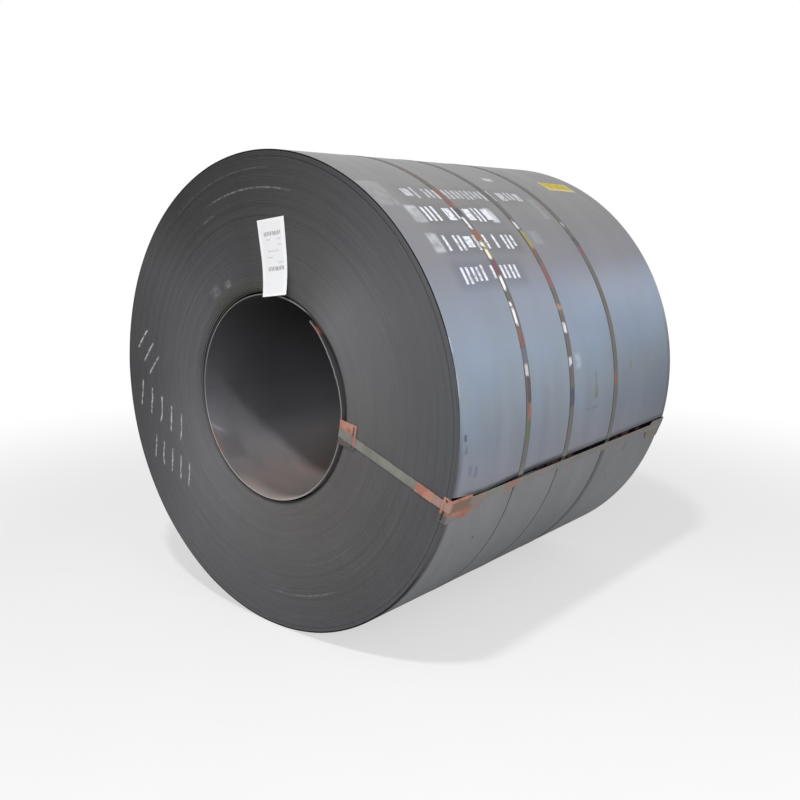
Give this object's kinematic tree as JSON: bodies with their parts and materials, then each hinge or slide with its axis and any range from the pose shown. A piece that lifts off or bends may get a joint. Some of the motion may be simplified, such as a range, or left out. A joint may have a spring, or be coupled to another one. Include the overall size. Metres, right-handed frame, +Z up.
{
  "type": "steel coil",
  "caption": "Coil of hot rolled steel strip lying on its side with its eye level, held by flat steel straps with crimped seals and corner guards, with a paper tag and a sticker.",
  "frame": {"origin": "on the floor, under the middle of the coil", "axes": "+Z up, +Y along the eye from the tagged end to the plain end, +X to the side that shows the strip's outer end"},
  "size_m": [1.7518, 1.5211, 1.7517],
  "materials": {
    "strip_steel": "blue-grey mill scale, dull on the ends",
    "strap_steel": "dark steel strapping with rust and paint rubs",
    "coated_steel": "rusty copper-coloured coating",
    "tag_paper": "matt white card",
    "sticker_paper": "matt yellow label"
  },
  "bodies": {
    "root": {"coil": "strip_steel", "girth_strap_1": "strap_steel", "girth_strap_2": "strap_steel", "girth_strap_3": "strap_steel", "girth_seal_1": "coated_steel", "girth_seal_2": "coated_steel", "girth_seal_3": "coated_steel", "eye_strap": "strap_steel", "eye_seal": "coated_steel", "inner_guard_tagged": "coated_steel", "inner_guard_plain": "coated_steel", "outer_guard_tagged": "coated_steel", "outer_guard_plain": "coated_steel", "tag": "tag_paper", "sticker": "sticker_paper"}
  },
  "joints": []
}
